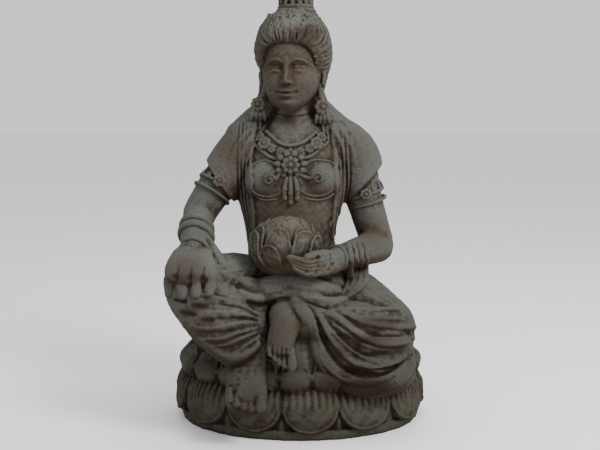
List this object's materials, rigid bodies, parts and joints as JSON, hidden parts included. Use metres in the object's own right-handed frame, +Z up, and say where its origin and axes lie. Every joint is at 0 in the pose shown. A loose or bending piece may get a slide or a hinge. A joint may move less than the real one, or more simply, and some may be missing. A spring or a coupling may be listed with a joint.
{
  "type": "goddess statue",
  "caption": "Garden statue of a goddess seated at royal ease on an oval two-tier lotus base, holding a lotus bud, in dark weathered stone.",
  "frame": {"origin": "on the flat underside, at the middle of the oval base", "axes": "+Z up; the figure faces -Y; +X is to the viewer's right from the front"},
  "size_m": [0.4542, 0.3792, 0.8001],
  "materials": {
    "cast_stone": "weathered, matt, pale sage on the raised carving and dark red-brown in the hollows"
  },
  "bodies": {
    "root": {"goddess_statue": "cast_stone"}
  },
  "joints": []
}
